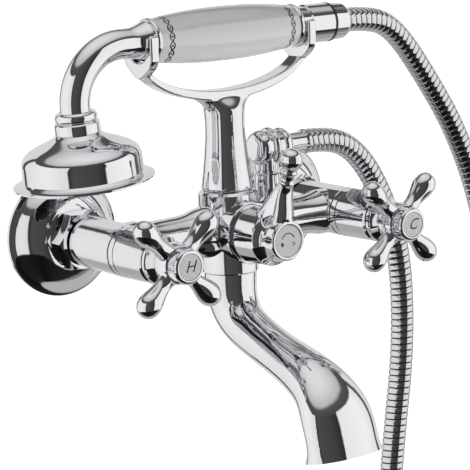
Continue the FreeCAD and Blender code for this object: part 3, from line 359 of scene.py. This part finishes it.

# Rolled strip is plated in the coil, so it is a little less bright than the turned pieces. The
# bottom
# of its seam is painted dark grey: painted shade standing in for the shade deep in the groove.
strip_chrome, tree, shader = new_finish("chromed_interlocked_strip", "#d9dadc", 1.0, 0.10)
wear(tree, shader, 6 * MM, 0.07, 0.16)
painted_seam_shade, tree, shader = new_finish("painted_shade_in_the_seam", "#2a2a2b", 0.3, 0.55)
wear(tree, shader, 4 * MM, 0.45, 0.65)
spiral_hose.data.materials.append(strip_chrome)
spiral_hose.data.materials.append(painted_seam_shade)
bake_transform(spiral_hose)
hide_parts("shower_hose")
dress(turned_chrome, "outlet_hose_ferrule")

# ---------------------------------------------------------------- wall unions and their covers
# Cast brass S-unions stay bare inside the wall; a spun, chromed escutcheon hides each one and
# a chromed hexagon nut draws the mixer's tail up to it over a fibre washer.
raw_brass, tree, shader = new_finish("sawn_and_turned_brass", "#c9a55a", 1.0, 0.32)
wear(tree, shader, 5 * MM, 0.26, 0.42)
relief(tree, shader, 1.1 * MM, 0.03 * MM)
dress(raw_brass, "hot_wall_union", "cold_wall_union", "hot_cartridge_body",
      "cold_cartridge_body", "hot_spindle", "cold_spindle", "diverter_plug",
      "handset_core_tube", "handset_hose_ferrule")
dress(spun_chrome, "hot_escutcheon", "cold_escutcheon")
dress(turned_chrome, "hot_union_nut", "cold_union_nut")

# EPDM seals and washers: matt black with the fine tooth of the mould.
seal_rubber, tree, shader = new_finish("moulded_epdm_rubber", "#1b1b1c", 0.0, 0.70)
wear(tree, shader, 3 * MM, 0.60, 0.80)
relief(tree, shader, 0.5 * MM, 0.02 * MM)
dress(seal_rubber, "union_washers", "cartridge_seat_seals", "spout_seal", "outlet_washer",
      "spray_gasket")

# ---------------------------------------------------------------- mixer body
# One sand casting in brass, machined where pieces fit, then ground, buffed and plated.
dress(cast_chrome, "mixer_body")

# ---------------------------------------------------------------- valves
# Lapped alumina discs turn on each other inside the brass cartridges; a drawn, chromed
# sleeve covers each cartridge's neck.
alumina, tree, shader = new_finish("lapped_alumina", "#efeee6", 0.0, 0.38)
wear(tree, shader, 2 * MM, 0.30, 0.46)
dress(alumina, "hot_fixed_disc", "cold_fixed_disc", "hot_moving_disc", "cold_moving_disc")
dress(turned_chrome, "hot_bonnet_sleeve", "cold_bonnet_sleeve")

# ---------------------------------------------------------------- cross handles
# Hot forged crosses, buffed to soft edges, each held by one screw under a knurled cap with a
# satin index disc. The letters are pressed in and filled with dark enamel.
steel, tree, shader = new_finish("drawn_stainless_steel", "#b9bbbd", 1.0, 0.26)
wear(tree, shader, 4 * MM, 0.20, 0.34)
relief(tree, shader, 0.8 * MM, 0.008 * MM, stretch=(1, 1, 6))
satin_disc, tree, shader = new_finish("satin_nickel_disc", "#c3c5c7", 0.85, 0.34)
wear(tree, shader, 1.5 * MM, 0.28, 0.42)
dark_enamel, tree, shader = new_finish("fired_black_enamel", "#222326", 0.0, 0.30)
wear(tree, shader, 1.0 * MM, 0.22, 0.40)
letter_height, letter_slant, enamel_proud = 8.6 * MM, 0.35, 0.06 * MM


def finished_mesh(made, smooth):
    """Mesh of an object as its modifiers leave it, shaded smooth or flat."""
    evaluated = made.evaluated_get(bpy.context.evaluated_depsgraph_get())
    mesh = bpy.data.meshes.new_from_object(evaluated)
    for face in mesh.polygons:
        face.use_smooth = smooth
    return mesh


def buffed_copy(name, source, voxel, rounds, finish):
    """A casting's CAD shape with its edges and inner corners rounded by the buffing wheel."""
    made = bpy.data.objects.new(name, nodes[source].data.copy())
    bpy.context.scene.collection.objects.link(made)
    bm = bmesh.new()
    bm.from_mesh(made.data)
    bmesh.ops.remove_doubles(bm, verts=bm.verts, dist=0.001 * MM)
    bm.to_mesh(made.data)
    bm.free()
    remesh = made.modifiers.new("grain", "REMESH")
    remesh.mode = "VOXEL"
    remesh.voxel_size = voxel
    buffing = made.modifiers.new("buffing", "SMOOTH")
    buffing.factor = 0.5
    buffing.iterations = rounds
    mesh = finished_mesh(made, smooth=True)
    made.modifiers.clear()
    made.data = mesh
    mesh.materials.clear()
    mesh.materials.append(finish)
    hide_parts(source)
    return made


def disc_front(name):
    """Middle of the front face of an index disc."""
    low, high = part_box(name)
    return Vector(((low[0] + high[0]) / 2, low[1], (low[2] + high[2]) / 2))


def flat_piece(name, mesh, centre, finish, body):
    """Stand a mesh drawn in the XY plane up to face the room, and place it."""
    mesh.transform(Matrix.Translation(centre) @ Matrix.Rotation(math.pi / 2, 4, "X"))
    mesh.materials.clear()
    mesh.materials.append(finish)
    made = bpy.data.objects.new(name, mesh)
    bpy.context.scene.collection.objects.link(made)
    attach(made, body)
    return made


for side, letter in (("hot", "H"), ("cold", "C")):
    cross = buffed_copy(side + "_forged_cross", side + "_handle_cross", voxel=0.34 * MM,
                        rounds=14, finish=cast_chrome)
    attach(cross, side + "_handle")
    dress(turned_chrome, side + "_handle_skirt", side + "_handle_cap")
    dress(steel, side + "_handle_screw")
    dress(satin_disc, side + "_index_disc")
    writing = bpy.data.curves.new(side + "_letter", "FONT")
    writing.body = letter
    writing.size = letter_height
    writing.shear = letter_slant
    writing.align_x, writing.align_y = "CENTER", "CENTER"
    writing.extrude = enamel_proud
    written = bpy.data.objects.new(side + "_letter", writing)
    bpy.context.scene.collection.objects.link(written)
    bpy.context.view_layer.update()
    letter_mesh = finished_mesh(written, smooth=False)
    bpy.data.objects.remove(written)
    flat_piece(side + "_letter_enamel", letter_mesh, disc_front(side + "_index_disc"),
               dark_enamel, side + "_handle")

# ---------------------------------------------------------------- diverter
# A cast lever on a turned bonnet. Its disc carries an arc with a small drop at one end and
# three spray dots at the other, for bath and shower.
dress(turned_chrome, "diverter_bonnet")
dress(steel, "lever_screw")
dress(satin_disc, "lever_index_disc")
lever = buffed_copy("cast_diverter_lever", "diverter_lever", voxel=0.36 * MM, rounds=12,
                    finish=cast_chrome)
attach(lever, "diverter")
arc_inner, arc_outer = 3.9 * MM, 4.5 * MM
arc_start, arc_sweep = math.radians(20), math.radians(140)
arc_steps = 20
dot_radius, dot_sides = 0.42, 20
marks = (
    # right and up of the disc's middle, radius, all in millimetres, and height over width
    (-4.0, -1.6, 0.85, 1.35),
    (3.4, -1.2, dot_radius, 1.0), (4.4, -2.0, dot_radius, 1.0), (3.2, -2.6, dot_radius, 1.0),
)
bm = bmesh.new()
corners = [bm.verts.new((radius * math.cos(arc_start), radius * math.sin(arc_start), height))
           for radius, height in ((arc_inner, -enamel_proud), (arc_outer, -enamel_proud),
                                  (arc_outer, enamel_proud), (arc_inner, enamel_proud))]
arc_end = bm.faces.new(corners)
bmesh.ops.spin(bm, geom=[arc_end], axis=(0, 0, 1), cent=(0, 0, 0), angle=arc_sweep,
               steps=arc_steps, use_duplicate=False)
for right, up, radius, stretch in marks:
    dot = bmesh.ops.create_cone(bm, cap_ends=True, segments=dot_sides, radius1=radius * MM,
                                radius2=radius * MM, depth=2 * enamel_proud)
    bmesh.ops.scale(bm, vec=(1, stretch, 1), verts=dot["verts"])
    bmesh.ops.translate(bm, vec=(right * MM, up * MM, 0), verts=dot["verts"])
bmesh.ops.recalc_face_normals(bm, faces=bm.faces)
marks_mesh = bpy.data.meshes.new("lever_marks")
bm.to_mesh(marks_mesh)
bm.free()
flat_piece("lever_marks", marks_mesh, disc_front("lever_index_disc"), dark_enamel, "diverter")

# ---------------------------------------------------------------- cradle
# A cast column that spreads into a thin springy fork with two rounded yokes.
dress(steel, "cradle_stud")
fork = buffed_copy("cast_cradle", "cradle", voxel=0.45 * MM, rounds=22, finish=cast_chrome)
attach(fork, "mixer")

# ---------------------------------------------------------------- hand shower
# A glazed porcelain sleeve with a printed chain near each end, between two turned rings; the
# swan neck is bent tube, the bell is spun and the spray plate is punched stainless steel.
porcelain_white, print_ink = "#d6d6d6", "#1c1c1e"
chain_place, chain_swing, chain_links = 40.6, 1.35, 8    # millimetres from the grip's middle
print_width, print_blur = 0.40, 0.12
bead_radius, bead_blur, bead_flatness = 0.55, 0.15, 1.6


def printed(tree, distance, reach, blur):
    """Ink up to a distance in millimetres, fading to none over the blur."""
    fade = add_node(tree, "ShaderNodeMapRange", {"From Min": reach, "From Max": reach + blur,
                                                 "To Min": 1.0, "To Max": 0.0},
                    {"Value": distance})
    return fade.outputs["Result"]


glaze, tree, shader = new_finish("glazed_porcelain", porcelain_white, 0.0, 0.16)
shader.inputs["Coat Weight"].default_value = 1.0
shader.inputs["Coat Roughness"].default_value = 0.05
relief(tree, shader, 16 * MM, 0.10 * MM)

# The chain is two sine lines round the grip that cross each other, with a bead in each link.
low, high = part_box("grip_sleeve")
grip_centre = (Vector(low) + Vector(high)) / 2
per_metre = 1000
place = add_node(tree, "ShaderNodeTexCoord").outputs["Object"]
mapped = add_node(tree, "ShaderNodeMapping", {"Location": -per_metre * grip_centre,
                                              "Scale": (per_metre,) * 3}, {"Vector": place})
spot = add_node(tree, "ShaderNodeSeparateXYZ", links={0: mapped.outputs["Vector"]})
around_grip = calculate(tree, "ARCTAN2", spot.outputs["Y"], spot.outputs["Z"])
outward = calculate(tree, "ABSOLUTE", spot.outputs["X"])
from_chain = calculate(tree, "SUBTRACT", outward, chain_place)
wave_phase = calculate(tree, "MULTIPLY", around_grip, float(chain_links))
wave = calculate(tree, "SINE", wave_phase)
strands = []
for swing in (chain_swing, -chain_swing):
    bent = calculate(tree, "MULTIPLY_ADD", wave, swing, from_chain)
    strands.append(calculate(tree, "ABSOLUTE", bent))
crossing = calculate(tree, "MINIMUM", *strands)
along_link = calculate(tree, "MULTIPLY", calculate(tree, "COSINE", wave_phase), bead_flatness)
from_bead = add_node(tree, "ShaderNodeCombineXYZ", links={"X": from_chain, "Y": along_link})
bead = add_node(tree, "ShaderNodeVectorMath", {"operation": "LENGTH"},
                {0: from_bead.outputs[0]}).outputs["Value"]
ink = calculate(tree, "MAXIMUM", printed(tree, crossing, print_width, print_blur),
                printed(tree, bead, bead_radius, bead_blur))
painted = add_node(tree, "ShaderNodeMix", {"data_type": "RGBA", 6: colour(porcelain_white),
                                           7: colour(print_ink)}, {0: ink})
tree.links.new(painted.outputs[2], shader.inputs["Base Color"])
dress(glaze, "grip_sleeve")
dress(turned_chrome, "grip_ring_left", "grip_ring_right", "gooseneck", "gooseneck_collar",
      "spray_swivel_nut", "handset_end_fitting", "hose_cone_nut")
dress(spun_chrome, "spray_bell")
dress(steel, "spray_plate")
acetal, tree, shader = new_finish("moulded_black_acetal", "#161617", 0.0, 0.36)
wear(tree, shader, 2 * MM, 0.30, 0.46)
dress(acetal, "handset_washer", "non_return_valve")

# ---------------------------------------------------------------- spout
# A hollow casting, buffed outside, with a moulded flow straightener pushed into its mouth.
dress(cast_chrome, "spout")
pale_acetal, tree, shader = new_finish("moulded_grey_acetal", "#b4b6b8", 0.0, 0.42)
wear(tree, shader, 2 * MM, 0.36, 0.50)
dress(pale_acetal, "spout_flow_insert")

# ---------------------------------------------------------------- shower outlet
# A turned nipple and swivel nut with a small cast elbow between them.
dress(turned_chrome, "outlet_nipple", "outlet_swivel_nut")
dress(cast_chrome, "outlet_elbow")
